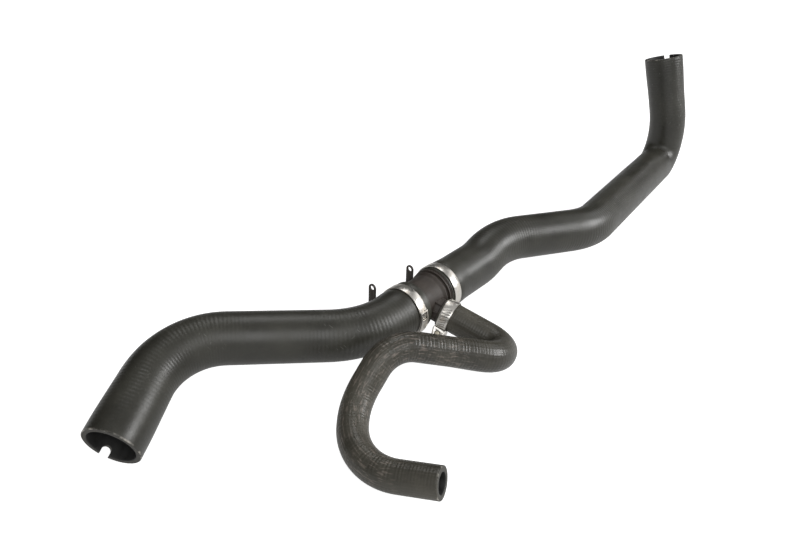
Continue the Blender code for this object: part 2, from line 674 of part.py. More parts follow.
def main():
    clear_scene()
    rubber = material("moulded hose rubber", (0.040, 0.040, 0.037), 0.62)
    branch_rubber = material("branch hose rubber", (0.044, 0.044, 0.041), 0.66)
    plastic = material("glass-filled nylon", (0.052, 0.042, 0.036), 0.48)
    steel = material("stainless clamp band", (0.52, 0.50, 0.47), 0.30, 1.0)
    screw_steel = material("plated screw steel", (0.46, 0.44, 0.40), 0.36, 1.0)
    front_hose(rubber)
    rear_hose(rubber)
    branch_hose(branch_rubber)
    tee_connector(plastic)
    ear_clamp("front_clamp", FRONT_CLAMP_AT, FRONT_LAP, FRONT_EAR, steel)
    ear_clamp("rear_clamp", REAR_CLAMP_AT, REAR_LAP, REAR_EAR, steel)
    worm_band(steel)
    housing(steel)
    screw(screw_steel)


main()
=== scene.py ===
# %% [markdown]
# # A radiator hose with a tee
# This file dresses one car part: a long moulded radiator hose, cut in two and joined again by a
# plastic tee, with a thin hose that curls out of the tee's branch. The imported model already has
# each piece as a plain solid at its true size. Here each piece gets its fine shape and its finish.

# %% The frame
import math

import bmesh
import bpy
from mathutils import Matrix, Vector


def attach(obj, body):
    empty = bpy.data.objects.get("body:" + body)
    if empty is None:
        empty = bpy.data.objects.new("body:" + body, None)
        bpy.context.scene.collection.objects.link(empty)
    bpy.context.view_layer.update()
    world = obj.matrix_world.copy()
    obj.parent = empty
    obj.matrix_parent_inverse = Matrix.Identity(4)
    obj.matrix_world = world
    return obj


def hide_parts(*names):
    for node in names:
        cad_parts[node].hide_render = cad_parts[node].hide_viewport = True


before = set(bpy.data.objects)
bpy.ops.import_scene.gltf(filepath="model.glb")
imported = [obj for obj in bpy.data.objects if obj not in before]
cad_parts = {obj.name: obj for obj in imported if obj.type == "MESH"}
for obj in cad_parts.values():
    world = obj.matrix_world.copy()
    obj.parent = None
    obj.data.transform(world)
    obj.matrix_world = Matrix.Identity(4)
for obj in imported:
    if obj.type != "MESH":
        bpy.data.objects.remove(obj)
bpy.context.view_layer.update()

print("nodes:", ", ".join(sorted(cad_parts)))

# %% [markdown]
# The photograph shows the part lying on a bench, seen from above one end. The camera stands where
# the widths of the round hoses and the slant of the clamp rings put it: about 0.4 m above the
# bench, looking along the hose and 31 degrees down. A 36 mm lens gives the same strong taper.

# %% The camera
CAMERA_PLACE = Vector((-0.5405, -0.3498, 0.4126))
CAMERA_LOOK = Vector((0.6276, 0.5853, -0.5134))
CAMERA_ROLL = math.radians(1.68)

lens = bpy.data.cameras.new("camera")
lens.lens = 36.0
lens.sensor_width = 36.0
camera = bpy.data.objects.new("camera", lens)
bpy.context.scene.collection.objects.link(camera)
turn = CAMERA_LOOK.to_track_quat("-Z", "Y").to_matrix() @ Matrix.Rotation(CAMERA_ROLL, 3, "Z")
camera.matrix_world = Matrix.Translation(CAMERA_PLACE) @ turn.to_4x4()
bpy.context.scene.camera = camera
print("camera height:", round(CAMERA_PLACE.z, 3), "m")

# %% [markdown]
# Every material here is a small tree of nodes. One function adds a node and links what feeds it, so
# that a material reads as a list of steps: from a pattern to a colour, and on to a surface.


# %% Nodes and colours
def linear(code):
    """An sRGB hex colour such as #3b342f as linear red, green, blue and alpha."""
    parts = [int(code[i : i + 2], 16) / 255 for i in (1, 3, 5)]
    return [c / 12.92 if c <= 0.04045 else ((c + 0.055) / 1.055) ** 2.4 for c in parts] + [1.0]


def add(tree, kind, settings=None, *sources, **links):
    """Adds a node. Settings are its attributes or inputs. The sources feed its inputs in order, and
    each link feeds one by name, with a number, a hex colour, an output or a node's first output."""
    item = tree.nodes.new("ShaderNode" + kind)
    for key, value in (settings or {}).items():
        if key in item.inputs:
            item.inputs[key].default_value = value
        else:
            setattr(item, key, value)
    pairs = list(zip([socket for socket in item.inputs if socket.enabled], sources))
    pairs += [(item.inputs[key.replace("_", " ")], value) for key, value in links.items()]
    for socket, value in pairs:
        if isinstance(value, str):
            socket.default_value = linear(value)
        elif isinstance(value, (int, float, tuple)):
            socket.default_value = value
        elif isinstance(value, bpy.types.Node):
            tree.links.new(next(out for out in value.outputs if out.enabled), socket)
        else:
            tree.links.new(value, socket)
    return item


def blank(name):
    """A material with an empty node tree and its output."""
    mat = bpy.data.materials.new(name)
    mat.use_nodes = True
    mat.node_tree.nodes.clear()
    return mat, mat.node_tree, mat.node_tree.nodes.new("ShaderNodeOutputMaterial")


# What a Math node does, and what a Mix node mixes.
TIMES, PLUS, MINUS = {"operation": "MULTIPLY"}, {"operation": "ADD"}, {"operation": "SUBTRACT"}
BELOW, ABOVE = {"operation": "LESS_THAN"}, {"operation": "GREATER_THAN"}
HIGHER, SINE = {"operation": "MAXIMUM"}, {"operation": "SINE"}
COLOURS, NUMBERS = {"data_type": "RGBA"}, {"data_type": "FLOAT"}


# %% [markdown]
# Product photographs of dark rubber use large soft lights, so that each round hose shows one
# broad, quiet highlight. Here the strongest panel stands well to the camera's right, a fill stands
# above and behind the camera, and two weak panels, one beyond the far end and one above and behind
# it, light what turns away. The world is brightest above and behind the camera and darkest behind
# the part, so that the far edges of the hoses fall off to dark. The floor is white. To the camera
# and in reflections it gives off light of its own, which keeps it white and keeps the shadow.

# %% Floor, world and lights
FLOOR_HALF_WIDTH, FLOOR_LEVEL = 30.0, -0.0004
GLOW_SEEN, GLOW_REFLECTED = 0.86, 0.38
BRIGHT_SIDE, SKY_DARK, SKY_BRIGHT = (-0.50, -0.65, 0.57), 0.05, 0.50


def white_floor():
    """Matt paper whose glow only the camera and reflections see."""
    mat, tree, out = blank("matt white paper")
    path = add(tree, "LightPath").outputs
    seen = add(tree, "Math", TIMES, path["Is Camera Ray"], GLOW_SEEN)
    reflected = add(tree, "Math", TIMES, path["Is Glossy Ray"], GLOW_REFLECTED)
    glow = add(tree, "Math", HIGHER, seen, reflected)
    paper = add(tree, "BsdfDiffuse", None, "#c4c4c4")
    light = add(tree, "Emission", None, "#ffffff", glow)
    both = add(tree, "AddShader", None, paper, light)
    tree.links.new(both.outputs[0], out.inputs["Surface"])
    return mat

floor_mesh = bmesh.new()
bmesh.ops.create_grid(floor_mesh, x_segments=1, y_segments=1, size=FLOOR_HALF_WIDTH)
bmesh.ops.translate(floor_mesh, verts=floor_mesh.verts, vec=(0, 0, FLOOR_LEVEL))
floor_data = bpy.data.meshes.new("floor")
floor_mesh.to_mesh(floor_data)
floor_mesh.free()
floor = bpy.data.objects.new("floor", floor_data)
bpy.context.scene.collection.objects.link(floor)
floor_data.materials.append(white_floor())

world = bpy.data.worlds.new("white studio")
bpy.context.scene.world = world
world.use_nodes = True
sky_tree = world.node_tree
sky_tree.nodes.clear()
ray_way = add(sky_tree, "TexCoord").outputs["Generated"]
sky_side = add(sky_tree, "VectorMath", {"operation": "DOT_PRODUCT"}, ray_way, BRIGHT_SIDE)
sky_fade = add(sky_tree, "MapRange", None, sky_side, -0.2, 0.9, SKY_DARK, SKY_BRIGHT)
seen_by_camera = add(sky_tree, "LightPath").outputs["Is Camera Ray"]
sky_strength = add(sky_tree, "Mix", NUMBERS, seen_by_camera, sky_fade, 1.0)
sky = add(sky_tree, "Background", None, "#ffffff", sky_strength)
sky_out = sky_tree.nodes.new("ShaderNodeOutputWorld")
sky_tree.links.new(sky.outputs[0], sky_out.inputs["Surface"])


def panel(name, place, target, width, depth, power):
    """A soft rectangular light that faces a target."""
    data = bpy.data.lights.new(name, "AREA")
    data.shape = "RECTANGLE"
    data.size = width
    data.size_y = depth
    data.energy = power
    lamp = bpy.data.objects.new(name, data)
    bpy.context.scene.collection.objects.link(lamp)
    lamp.location = place
    lamp.rotation_euler = (Vector(target) - Vector(place)).to_track_quat("-Z", "Y").to_euler()
    return lamp


# Each panel has a place, a target, a width, a depth and a power in watts.
panel("key panel", (1.8, -1.9, 1.35), (0.0, 0.0, 0.0), 1.5, 1.0, 62)
panel("right panel", (1.9, -0.2, 1.2), (0.0, 0.0, 0.0), 0.8, 0.6, 4)
panel("overhead panel", (0.5, 0.65, 1.55), (0.0, 0.0, 0.0), 0.7, 0.6, 6)
panel("camera-side fill", (-0.9, -1.1, 1.2), (-0.1, 0.0, 0.05), 1.3, 1.0, 13)
bpy.context.scene.view_settings.view_transform = "Standard"

# %% [markdown]
# Each hose is laid out the way a hose maker draws it, as a bend table: corners joined by straight
# legs, with a bend radius at each corner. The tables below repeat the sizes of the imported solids.
# Only the steps along the bends are finer here, because the eye finds facets on a smooth highlight.
# A stop is where a hose ends on the tee, measured from the tee's middle, and so is a clamp's place.

# %% Bend tables
MAIN_OD = 0.042
MAIN_WALL = 0.004
BRANCH_OD = 0.024
BRANCH_ROOT_OD = 0.0255
BRANCH_WALL = 0.0043
TEE = Vector((-0.1075, 0.0293, 0.0361))
RUN = Vector((0.9976, 0.0694, -0.006)).normalized()
BRANCH = Vector((0.256, -0.9363, -0.2404)).normalized()
FRONT_STOP = -0.0107
REAR_STOP = 0.0190
BRANCH_STOP = 0.0216
FRONT_CLAMP_AT = -0.0222
REAR_CLAMP_AT = 0.0256
FIT = 0.0003
NEAR_MOUTH = Vector((-0.378, 0.067, 0.0210))
FAR_MOUTH = Vector((0.3685, 0.0765, 0.1438))
BRANCH_MOUTH = Vector((-0.2405, -0.114, 0.0193))
FRONT_TABLE = [(TEE - RUN * 0.0705, 0.084), ((-0.300, 0.110, 0.0493), 0.063)]
REAR_TABLE = [
    (TEE + RUN * 0.0853, 0.067),
    ((0.0153, 0.0409, 0.0430), 0.080),
    ((0.1152, 0.0023, 0.0340), 0.078),
    ((0.367, 0.054, 0.0194), 0.026),
    ((0.3665, 0.053, 0.0678), 0.115),
]
BRANCH_TABLE = [
    (TEE + BRANCH * 0.0826, 0.018),
    ((-0.114, -0.0615, 0.0263), 0.027),
    ((-0.189, -0.014, 0.0543), 0.033),
    ((-0.2285, -0.017, 0.0213), 0.0435),
    ((-0.268, -0.053, 0.0078), 0.047),
]


def route(start, table, end, step=0.003, turn_step=math.radians(3)):
    """Points along straight legs and arcs, from a bend table of (corner, radius)."""
    points = [Vector(start)]
    corners = [Vector(start)] + [Vector(corner) for corner, _ in table] + [Vector(end)]

    def leg_to(target):
        origin = points[-1]
        count = max(1, math.ceil((target - origin).length / step))
        points.extend(origin.lerp(target, i / count) for i in range(1, count + 1))

    for i, (_, radius) in enumerate(table, start=1):
        arriving = (corners[i] - corners[i - 1]).normalized()
        leaving = (corners[i + 1] - corners[i]).normalized()
        bend = arriving.angle(leaving)
        leg_to(corners[i] - arriving * radius * math.tan(bend / 2))
        inward = (leaving - arriving * leaving.dot(arriving)).normalized()
        centre = points[-1] + inward * radius
        count = max(2, math.ceil(bend / turn_step))
        for k in range(1, count + 1):
            angle = bend * k / count
            points.append(centre - inward * radius * math.cos(angle)
                          + arriving * radius * math.sin(angle))
    leg_to(Vector(end))
    return points


def smooth_step(value):
    value = min(max(value, 0.0), 1.0)
    return value * value * (3 - 2 * value)


# %% [markdown]
# A hose is a tube with an outer skin, a bore and two cut ends. The tube is lofted: one circle for
# each point of the route, bridged to the next, out along the skin, round the rounded lip of the
# mouth, back through the bore and round the other lip. A curve with a bevel would be shorter to
# write, but the loft also gives each face its place on the hose in a UV map: once round the hose
# is one unit of U, and V is the length along it in metres. The marks of the wrapping follow it.


# %% Lofting a hose
# The rim of a mouth is rubbed over this length.
RIM_WEAR = 0.0022


def travelling_frames(points):
    """A frame for each point whose Z follows the route and which turns as little as it can."""
    frames = []
    side = None
    for i, point in enumerate(points):
        ahead = points[min(i + 1, len(points) - 1)] - points[max(i - 1, 0)]
        tangent = ahead.normalized()
        if side is None:
            side = Vector((0, 0, 1)).cross(tangent).normalized()
        side = (side - tangent * side.dot(tangent)).normalized()
        matrix = Matrix((side, tangent.cross(side), tangent)).transposed().to_4x4()
        matrix.translation = point
        frames.append(matrix)
    return frames


def hose_rings(points, outer_radius, wall, lip):
    """Every ring of the closed tube: frame, radius, length along the hose, and kind of surface."""
    frames = travelling_frames(points)
    along = [0.0]
    for a, b in zip(points, points[1:]):
        along.append(along[-1] + (b - a).length)
    total = along[-1]

    def ring(i, shift, radius, kind):
        return frames[i] @ Matrix.Translation((0, 0, shift)), radius, along[i] + shift, kind

    first, last = outer_radius(0, total), outer_radius(total, total)
    round_lip = [(1.0, 0.0), (0.62, 0.08), (0.29, 0.29), (0.08, 0.62), (0.0, 1.0)]
    rings = [ring(0, back * lip, first - inset * lip, 0) for inset, back in round_lip]
    rings += [ring(i, 0, outer_radius(along[i], total), 0) for i in range(1, len(points) - 1)]
    rings += [ring(-1, -back * lip, last - inset * lip, 0) for inset, back in round_lip[::-1]]
    # The bore's lip starts a little deeper: two rings with one centre would be bridged mirrored.
    deeper = 0.00005
    inner = [(-1, -back * lip - deeper, last - wall + inset * lip, 2) for inset, back in round_lip]
    rings.append(ring(*inner[0][:3], 1))
    rings += [ring(*item) for item in inner[1:]]
    rings += [ring(i, 0, outer_radius(along[i], total) - wall, 2)
              for i in range(len(points) - 2, 0, -1)]
    rings += [ring(0, back * lip + deeper, first - wall + inset * lip, 2)
              for inset, back in round_lip[::-1]]
    return rings


def loft(rings, sides):
    """Bridges ring to ring and back to the first, and writes the UV map and the material index."""
    bm = bmesh.new()
    worn = bm.verts.layers.float.new("rim_wear")
    circles = []
    spot = {}
    for matrix, radius, length, _ in rings:
        verts = bmesh.ops.create_circle(bm, segments=sides, radius=radius, matrix=matrix)["verts"]
        circles.append([bm.edges.get((verts[k], verts[(k + 1) % sides])) for k in range(sides)])
        for k, vert in enumerate(verts):
            spot[vert] = (k, length)
    uv = bm.loops.layers.uv.new("hose_route")
    total = max(length for _, _, length, _ in rings)
    for vert, (_, length) in spot.items():
        vert[worn] = max(0.0, 1.0 - (total - length) / RIM_WEAR)
    for number in range(len(rings)):
        after = (number + 1) % len(rings)
        made = bmesh.ops.bridge_loops(bm, edges=circles[number] + circles[after])["faces"]
        for face in made:
            face.material_index = 1 if after == 0 else rings[after][3]
            face.smooth = True
            seam = {spot[loop.vert][0] for loop in face.loops} == {0, sides - 1}
            for loop in face.loops:
                k, length = spot[loop.vert]
                loop[uv].uv = ((1.0 if seam and k == 0 else k / sides), length)
    bmesh.ops.recalc_face_normals(bm, faces=bm.faces)
    return bm


def shade(mesh):
    """Smooth, except where two faces meet at more than 35 degrees."""
    mesh.shade_smooth()
    mesh.set_sharp_from_angle(angle=math.radians(35))


def piece(name, bm, *materials):
    """An object of this mesh."""
    mesh = bpy.data.meshes.new(name)
    bm.to_mesh(mesh)
    bm.free()
    shade(mesh)
    obj = bpy.data.objects.new(name, mesh)
    bpy.context.scene.collection.objects.link(obj)
    for mat in materials:
        mesh.materials.append(mat)
    return obj


def settle(obj):
    """Keeps what an object's modifiers make as its own mesh, and removes the cutters they used."""
    cutters = [modifier.object for modifier in obj.modifiers if modifier.type == "BOOLEAN"]
    bpy.context.view_layer.update()
    graph = bpy.context.evaluated_depsgraph_get()
    mesh = bpy.data.meshes.new_from_object(obj.evaluated_get(graph))
    mesh.name = obj.name
    obj.modifiers.clear()
    obj.data = mesh
    shade(mesh)
    for cutter in cutters:
        bpy.data.objects.remove(cutter, do_unlink=True)


def mesh_from(obj):
    """Takes an object's mesh for more work, and removes the object."""
    bm = bmesh.new()
    bm.from_mesh(obj.data)
    bpy.data.objects.remove(obj, do_unlink=True)
    return bm


def carve(obj, bm, operation="DIFFERENCE"):
    """Adds a Boolean with this mesh. Its new faces take the second material, if there is one."""
    for face in bm.faces:
        face.material_index = 1 if len(obj.data.materials) > 1 else 0
    bmesh.ops.recalc_face_normals(bm, faces=bm.faces)
    cutter = piece(obj.name + "_cutter", bm, *obj.data.materials)
    cutter.hide_render = True
    boolean = obj.modifiers.new(operation.title(), "BOOLEAN")
    boolean.operation = operation
    boolean.solver = "EXACT"
    boolean.object = cutter


# %% [markdown]
# The long hoses are EPDM rubber. The raw hose is pushed on a bent mandrel, wrapped, and cured with
# steam in an autoclave, which leaves a matt skin with faint rings where the wrapping lay and a
# bloom of dust-grey on top of the black. The cut ends show the bare compound, a little lighter.
# The thin hose is cured in a knitted sleeve, whose stitches print a fine diamond pattern on it.


# %% Rubber
def hose_rubber(name, colour, bloom, ring_spacing, ring_depth, knit=None):
    """EPDM hose skin. A knit is the number of its stitches round the hose and their length."""
    mat, tree, out = blank(name)
    split = add(tree, "SeparateXYZ", None, add(tree, "UVMap", {"uv_map": "hose_route"}))
    around, along = split.outputs["X"], split.outputs["Y"]
    place = add(tree, "TexCoord").outputs["Object"]
    # The clouds are about 40 mm wide, the grain about 1 mm and the patches about 80 mm.
    cloud = add(tree, "TexNoise", {"Scale": 24.0, "Detail": 5.0, "Roughness": 0.62}, place)
    grain = add(tree, "TexNoise", {"Scale": 850.0, "Detail": 3.0, "Roughness": 0.6}, place)
    patch = add(tree, "TexNoise", {"Scale": 13.0, "Detail": 1.0}, place)

    # Bloom: sulphur and wax that rise to the surface make paler clouds on the black.
    bloomed = add(tree, "MapRange", None, cloud, 0.36, 0.68)
    paint = add(tree, "Mix", COLOURS, bloomed, colour, bloom)
    # Grit: a few pale grains of dust, one in some cells of an 18 mm pattern and at most 1 mm wide.
    cells = add(tree, "TexVoronoi", {"Scale": 55.0}, place)
    chance = add(tree, "SeparateColor", None, cells.outputs["Color"])
    near = add(tree, "Math", BELOW, cells.outputs["Distance"], 0.028)
    grit = add(tree, "Math", TIMES, near, add(tree, "Math", ABOVE, chance, 0.86))
    paint = add(tree, "Mix", COLOURS, add(tree, "Math", TIMES, grit, 0.7), paint, "#c4c4be")
    # Scuffs: short scratches that lie across each other, only where the patches are strongest.
    scuff = 0.0
    for slant in (1.0, -1.0):
        lean = add(tree, "Math", PLUS, add(tree, "Math", TIMES, around, 26.0 * slant),
                   add(tree, "Math", TIMES, along, 220.0))
        cross = add(tree, "Math", MINUS, add(tree, "Math", TIMES, along, 34.0),
                    add(tree, "Math", TIMES, around, 4.0 * slant))
        spot = add(tree, "CombineXYZ", None, lean, cross)
        streak = add(tree, "TexNoise", {"Scale": 3.0, "Detail": 1.0}, spot)
        scratched = add(tree, "MapRange", None, streak, 0.70, 0.74)
        scuff = add(tree, "Math", HIGHER, scratched, scuff)
    worn = add(tree, "MapRange", None, patch, 0.52, 0.62, 0.0, 0.30)
    scuff = add(tree, "Math", TIMES, scuff, worn)
    paint = add(tree, "Mix", COLOURS, scuff, paint, "#7a7a74")
    # Rubbed rim: the mouth's edge has lost its skin in places.
    rim = add(tree, "Attribute", {"attribute_name": "rim_wear"}).outputs["Fac"]
    nibble = add(tree, "TexNoise", {"Scale": 210.0, "Detail": 2.0}, place)
    rubbed = add(tree, "Math", TIMES, add(tree, "MapRange", None, rim, 0.45, 1.0),
                 add(tree, "MapRange", None, nibble, 0.47, 0.66))
    paint = add(tree, "Mix", COLOURS, rubbed, paint, "#aaa59c")
    # Cloth mark: where the knit was pressed hardest, its threads left short paler dashes.
    if knit:
        lain = add(tree, "CombineXYZ", None, add(tree, "Math", TIMES, around, 18.0),
                   add(tree, "Math", TIMES, along, 42.0))
        dash = add(tree, "TexNoise", {"Scale": 3.0, "Detail": 2.0}, lain)
        pressed = add(tree, "MapRange", None, patch, 0.46, 0.56, 0.05, 0.50)
        mark = add(tree, "Math", TIMES, add(tree, "MapRange", None, dash, 0.54, 0.64), pressed)
        paint = add(tree, "Mix", COLOURS, mark, paint, "#7c726a")

    # Wrap rings: a sine along the hose that sways with the clouds and comes and goes in patches.
    rings = add(tree, "Math", PLUS, add(tree, "Math", TIMES, along, math.tau / ring_spacing),
                add(tree, "Math", TIMES, cloud, 6.0))
    wrapped = add(tree, "MapRange", None, patch, 0.44, 0.56, 0.15, 1.0)
    height = add(tree, "Math", TIMES, add(tree, "Math", SINE, rings), wrapped)
    # Stitches: two slanted sines, one each way round, whose product is a pattern of diamonds.
    if knit:
        across = add(tree, "Math", TIMES, around, math.tau * knit[0])
        down = add(tree, "Math", TIMES, along, math.tau / knit[1])
        one = add(tree, "Math", SINE, add(tree, "Math", PLUS, across, down))
        two = add(tree, "Math", SINE, add(tree, "Math", MINUS, across, down))
        height = add(tree, "Math", PLUS, height, add(tree, "Math", TIMES, one, two))
    height = add(tree, "Math", MINUS, height, add(tree, "Math", TIMES, scuff, 2.0))
    coarse = add(tree, "Bump", {"Strength": 1.0, "Distance": ring_depth}, Height=height)
    wavy = add(tree, "Bump", {"Strength": 1.0, "Distance": 0.0006}, Height=cloud, Normal=coarse)
    fine = add(tree, "Bump", {"Strength": 1.0, "Distance": 0.00003}, Height=grain, Normal=wavy)
    rough = add(tree, "MapRange", None, cloud, 0.3, 0.7, 0.34, 0.50)
    skin = add(tree, "BsdfPrincipled", {"IOR": 1.5}, Base_Color=paint, Roughness=rough, Normal=fine)
    tree.links.new(skin.outputs[0], out.inputs["Surface"])
    return mat


def plain_rubber(name, colour, other, roughness, grain_scale):
    """Rubber without a skin: the knife-cut ends and the extruded bore."""
    mat, tree, out = blank(name)
    place = add(tree, "TexCoord").outputs["Object"]
    grain = add(tree, "TexNoise", {"Scale": grain_scale, "Detail": 4.0}, place)
    tone = add(tree, "Mix", COLOURS, add(tree, "MapRange", None, grain, 0.3, 0.7), colour, other)
    rough = add(tree, "MapRange", None, grain, 0.3, 0.7, roughness, roughness + 0.12)
    cut = add(tree, "Bump", {"Strength": 0.6, "Distance": 0.0002}, Height=grain)
    body = add(tree, "BsdfPrincipled", {"IOR": 1.5}, Base_Color=tone, Roughness=rough, Normal=cut)
    tree.links.new(body.outputs[0], out.inputs["Surface"])
    return mat

main_rubber = hose_rubber("EPDM rubber, wrapped and steam cured", "#24231d", "#33322b",
                          ring_spacing=0.0030, ring_depth=0.00005)
branch_rubber = hose_rubber("EPDM rubber, cured in a knitted sleeve", "#2e2c25", "#47443b",
                            ring_spacing=0.0030, ring_depth=0.00006, knit=(16, 0.0046))
cut_rubber = plain_rubber("knife-cut EPDM rubber", "#2e2d29", "#47453f",
                          roughness=0.62, grain_scale=500.0)
bore_rubber = plain_rubber("extruded EPDM bore", "#171716", "#232322",
                           roughness=0.55, grain_scale=220.0)
print("rubbers:", main_rubber.name, "/", branch_rubber.name)

# %% [markdown]
# A rubber hose swells a little beside a tight clamp. Each main hose also opens out towards its
# mouth, and keeps one width over the last centimetre, which slides over the radiator's stub. The
# skins are drawn 0.15 mm inside the sizes above.


# %% The three hoses
SKIN_INSET = 0.00015
SWELL_START, SWELL_RISE, SWELL_FADE, SWELL_HEIGHT = 0.0046, 0.003, 0.016, 0.0007
CUFF, MAIN_LIP, BRANCH_LIP = 0.010, 0.0006, 0.0005
ROOT_LENGTH, ROOT_TAPER = 0.100, 0.030


def flared(mouth, length, clamp_at):
    """The outer radius along a main hose: swollen beside its clamp, and wider at its mouth."""
    def radius(at, total):
        away = abs(at - clamp_at) - SWELL_START
        fade = smooth_step(1 - (away - SWELL_RISE) / SWELL_FADE)
        swell = SWELL_HEIGHT * smooth_step(away / SWELL_RISE) * fade
        flare = (mouth - MAIN_OD) / 2 * smooth_step(1 - (total - at - CUFF) / length)
        return MAIN_OD / 2 + swell + flare - SKIN_INSET
    return radius


def root_swell(at, total):
    """The outer radius along the branch hose, fuller from its clamp to the end of the hairpin."""
    fuller = (BRANCH_ROOT_OD - BRANCH_OD) / 2 * smooth_step(1 - (at - ROOT_LENGTH) / ROOT_TAPER)
    return BRANCH_OD / 2 + fuller - SKIN_INSET


front_points = route(TEE + RUN * (FRONT_STOP - FIT), FRONT_TABLE, NEAR_MOUTH)
rear_points = route(TEE + RUN * (REAR_STOP + FIT), REAR_TABLE, FAR_MOUTH)
branch_points = route(TEE + BRANCH * (BRANCH_STOP + FIT), BRANCH_TABLE, BRANCH_MOUTH)
front_radius = flared(0.0445, 0.050, clamp_at=FRONT_STOP - FIT - FRONT_CLAMP_AT)
rear_radius = flared(0.0437, 0.040, clamp_at=REAR_CLAMP_AT - REAR_STOP - FIT)
front_rings = hose_rings(front_points, front_radius, MAIN_WALL, MAIN_LIP)
rear_rings = hose_rings(rear_points, rear_radius, MAIN_WALL, MAIN_LIP)
branch_rings = hose_rings(branch_points, root_swell, BRANCH_WALL, BRANCH_LIP)
front = piece("front_hose_skin", loft(front_rings, 64), main_rubber, cut_rubber, bore_rubber)
rear = piece("rear_hose_skin", loft(rear_rings, 64), main_rubber, cut_rubber, bore_rubber)
branch = piece("branch_hose_skin", loft(branch_rings, 48), branch_rubber, cut_rubber, bore_rubber)

# %% [markdown]
# Each main mouth has a notch in its rim. A key on the radiator's stub enters it, so that the hose
# can be fitted only one way round. The near notch has a round floor and the far one a square floor.
# Each is cut with a Boolean, a small block drawn out through one side of the wall.


# %% Locating notches
# The cutting block reaches from inside the wall to outside it, and a little out of the mouth.
NOTCH_INNER, NOTCH_OUTER, NOTCH_CLEAR = 0.014, 0.026, 0.003


def polar(radius, angle):
    return Vector((radius * math.cos(angle), radius * math.sin(angle)))


def draw_out(bm, made, length):
    """Moves the corners that an extrusion made along X by this length."""
    moved = [item for item in made if isinstance(item, bmesh.types.BMVert)]
    bmesh.ops.translate(bm, verts=moved, vec=(length, 0, 0))


def prism(outline, start, end):
    """A closed outline in the YZ plane, drawn out along X from start to end."""
    bm = bmesh.new()
    face = bm.faces.new([bm.verts.new((start, y, z)) for y, z in outline])
    draw_out(bm, bmesh.ops.extrude_face_region(bm, geom=[face])["geom"], end - start)
    bmesh.ops.recalc_face_normals(bm, faces=bm.faces)
    return bm


def notch(points, side, width, depth, rounded):
    """The block that cuts a notch: in from the mouth, and out through one side of the wall."""
    half = width / 2
    outward = (points[-1] - points[-2]).normalized()
    if rounded:
        floor_line = [polar(half, math.radians(a)) + Vector((half - depth, 0))
                      for a in range(270, 80, -15)]
    else:
        floor_line = [Vector((-depth, -half)), Vector((-depth, half))]
    outline = [Vector((NOTCH_CLEAR, -half))] + floor_line + [Vector((NOTCH_CLEAR, half))]
    block = prism(outline, NOTCH_INNER, NOTCH_OUTER)
    radial = (side - outward * side.dot(outward)).normalized()
    matrix = Matrix((radial, outward, radial.cross(outward))).transposed().to_4x4()
    matrix.translation = points[-1]
    bmesh.ops.transform(block, verts=block.verts, matrix=matrix)
    return block


front_side, rear_side = Vector((-0.065, 0.633, -0.772)), Vector((0.95, 0.27, -0.11))
carve(front, notch(front_points, front_side, width=0.0070, depth=0.0072, rounded=True))
carve(rear, notch(rear_points, rear_side, width=0.0065, depth=0.0060, rounded=False))
for obj, nodes, slot in ((front, ["front_hose"], "main_rubber"),
                         (rear, ["rear_hose", "rear_hose_elbow"], "main_rubber"),
                         (branch, ["branch_hose", "branch_hose_end"], "branch_rubber")):
    settle(obj)
    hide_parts(*nodes)
    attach(obj, "hose_assembly")
    print(obj.name, len(obj.data.polygons), "faces")

# %% [markdown]
# The tee is injection moulded from nylon with short glass fibres, which make it stiff enough to
# clamp on. It is dark brown-black and a little shinier than rubber. Round pieces are turned: a
# profile with rounded corners is spun about the run. A map of turns and metres goes on each turned
# piece, so that flow lines and scratches can follow its surface.


# %% Turning and rounding
def frame_at(origin, x_axis, z_axis):
    """The matrix of a frame at origin with this x axis, and z as near to z_axis as it can be."""
    x = Vector(x_axis).normalized()
    y = Vector(z_axis).cross(x).normalized()
    matrix = Matrix((x, y, x.cross(y))).transposed().to_4x4()
    matrix.translation = origin
    return matrix


TEE_FRAME = frame_at(TEE, RUN, BRANCH.cross(RUN))
BRANCH_FRAME = frame_at(TEE, BRANCH, BRANCH.cross(RUN))


def rounded(corners, steps=4):
    """A closed outline with its corners rounded. Each corner is (x, y, radius)."""
    points = []
    for i, (x, y, radius) in enumerate(corners):
        here = Vector((x, y))
        before = (Vector(corners[i - 1][:2]) - here).normalized()
        after = (Vector(corners[(i + 1) % len(corners)][:2]) - here).normalized()
        half = before.angle(after) / 2
        if not radius or half > math.radians(88):
            points.append(here)
            continue
        centre = here + (before + after).normalized() * radius / math.sin(half)
        reach = radius / math.tan(half)
        first, last = here + before * reach - centre, here + after * reach - centre
        points += [centre + first.lerp(last, k / steps).normalized() * radius
                   for k in range(steps + 1)]
    return points


def spun(outline, sides):
    """A closed outline of (x, radius) spun once about the X axis."""
    bm = bmesh.new()
    verts = [bm.verts.new((x, radius, 0)) for x, radius in outline]
    edges = [bm.edges.new((verts[i - 1], verts[i])) for i in range(len(verts))]
    bmesh.ops.spin(bm, geom=verts + edges, cent=(0, 0, 0), axis=(1, 0, 0), angle=math.tau,
                   steps=sides, use_merge=True)
    bmesh.ops.remove_doubles(bm, verts=bm.verts, dist=1e-6)
    bmesh.ops.recalc_face_normals(bm, faces=bm.faces)
    return bm


def soften(bm, offset, angle=40):
    """Rounds every edge that turns by more than this angle."""
    limit = math.radians(angle)
    sharp = [e for e in bm.edges if len(e.link_faces) == 2 and e.calc_face_angle() > limit]
    bmesh.ops.bevel(bm, geom=sharp, offset=offset, segments=2, profile=0.5, affect="EDGES",
                    material=-1, clamp_overlap=True)
    return bm


